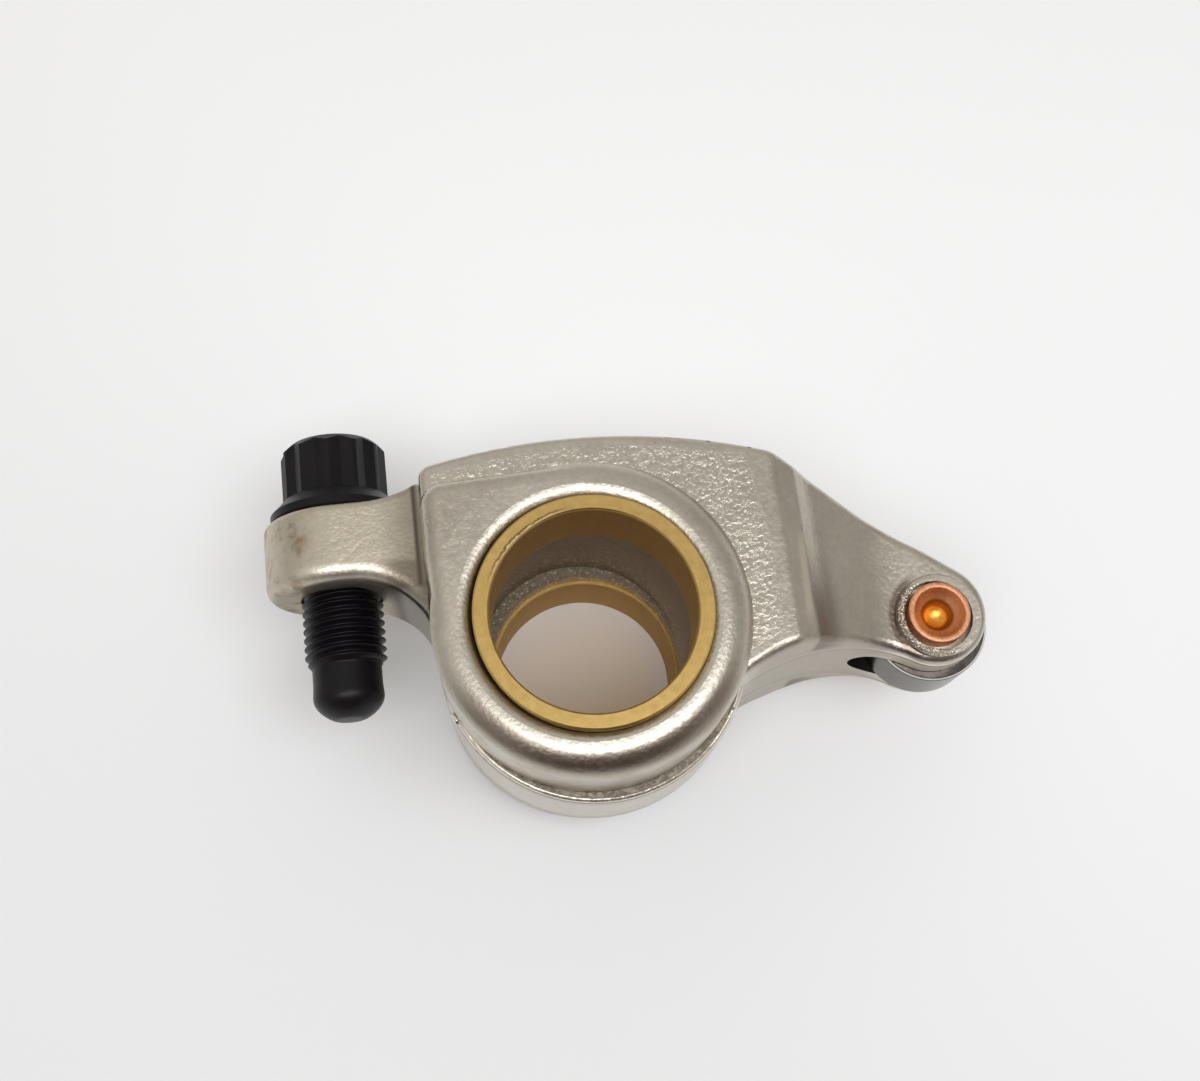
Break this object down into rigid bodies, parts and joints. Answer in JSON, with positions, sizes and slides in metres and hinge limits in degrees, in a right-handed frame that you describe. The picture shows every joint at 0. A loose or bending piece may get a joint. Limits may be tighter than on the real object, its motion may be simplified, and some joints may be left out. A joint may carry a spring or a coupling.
{
  "type": "roller rocker arm",
  "caption": "Shaft-mounted rocker arm of cast steel with bushed bore, roller tip in a forked nose, and an adjuster screw with a twelve-point lock nut.",
  "frame": {"origin": "centre of the shaft bore at the middle of its length", "axes": "+Z along the shaft bore, +X towards the roller, +Y along the adjuster screw towards its lock nut"},
  "size_m": [0.0837, 0.0471, 0.0378],
  "materials": {
    "cast_steel": "satin cast steel with a rough relief",
    "bushing_bronze": "turned bronze, satin",
    "roller_steel": "ground and oiled",
    "axle_bronze": "polished, warm copper tone",
    "black_steel": "black oxide, satin"
  },
  "bodies": {
    "arm": {"rocker_body": "cast_steel", "upper_bushing": "bushing_bronze", "lower_bushing": "bushing_bronze", "roller_axle": "axle_bronze"},
    "roller": {"roller": "roller_steel"},
    "screw": {"adjuster_screw": "black_steel"},
    "nut": {"lock_nut": "black_steel"}
  },
  "joints": [
    {"name": "roller_spin", "type": "hinge", "parent": "arm", "child": "roller", "pos_m": [0.04005, -0.0018, 0], "axis": [0, 0, 1], "continuous": true},
    {"name": "lash_adjust", "type": "slide", "parent": "arm", "child": "screw", "axis": [0, -1, 0], "range_m": [-0.003, 0.003]},
    {"name": "nut_turn", "type": "hinge", "parent": "arm", "child": "nut", "pos_m": [-0.02815, 0.0185, 0], "axis": [0, 1, 0], "continuous": true}
  ]
}
